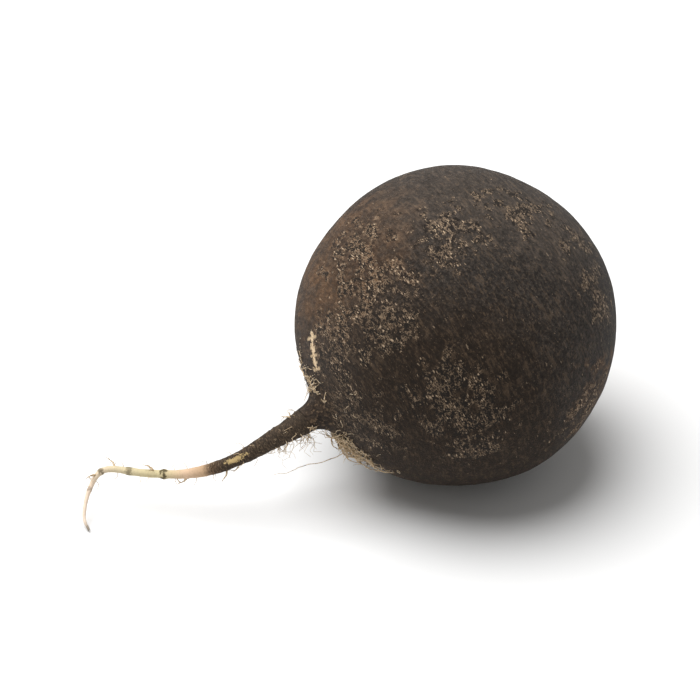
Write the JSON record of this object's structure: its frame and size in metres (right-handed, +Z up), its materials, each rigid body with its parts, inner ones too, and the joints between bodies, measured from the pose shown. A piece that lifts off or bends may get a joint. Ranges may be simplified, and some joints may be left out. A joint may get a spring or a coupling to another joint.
{
  "type": "black radish",
  "caption": "Round black radish lying on its side, with a bent tapering taproot, curly rootlets and a trimmed leafless crown.",
  "frame": {"origin": "middle of the small flat spot that the radish rests on", "axes": "+Z up from the surface; the taproot points along -X and the cut crown faces +X, turned 17 degrees towards +Y"},
  "size_m": [0.1488, 0.085, 0.0844],
  "materials": {
    "skin": "matt charcoal-black root skin with fine tan corky cracks; the taproot turns from black to tan and cream",
    "stem_flesh": "fresh cut plant flesh, satin, yellow-green with a pinkish heart",
    "stalk_flesh": "cut leaf stalk flesh, satin, cream to yellow-green",
    "dry_skin": "dry papery scale, matt, tan with purple-brown patches"
  },
  "bodies": {
    "root": {"root": "skin", "crown_stem": "stem_flesh", "leaf_stalk_stub_1": "stalk_flesh", "leaf_stalk_stub_2": "stalk_flesh", "leaf_stalk_stub_3": "stalk_flesh", "leaf_stalk_stub_4": "stalk_flesh", "leaf_stalk_stub_5": "stalk_flesh", "leaf_stalk_stub_6": "stalk_flesh", "leaf_stalk_stub_7": "stalk_flesh", "leaf_stalk_stub_8": "stalk_flesh", "leaf_stalk_stub_9": "stalk_flesh", "dry_scale_1": "dry_skin", "dry_scale_2": "dry_skin", "dry_scale_3": "dry_skin", "dry_scale_4": "dry_skin", "dry_scale_5": "dry_skin", "dry_scale_6": "dry_skin", "dry_scale_7": "dry_skin"}
  },
  "joints": []
}
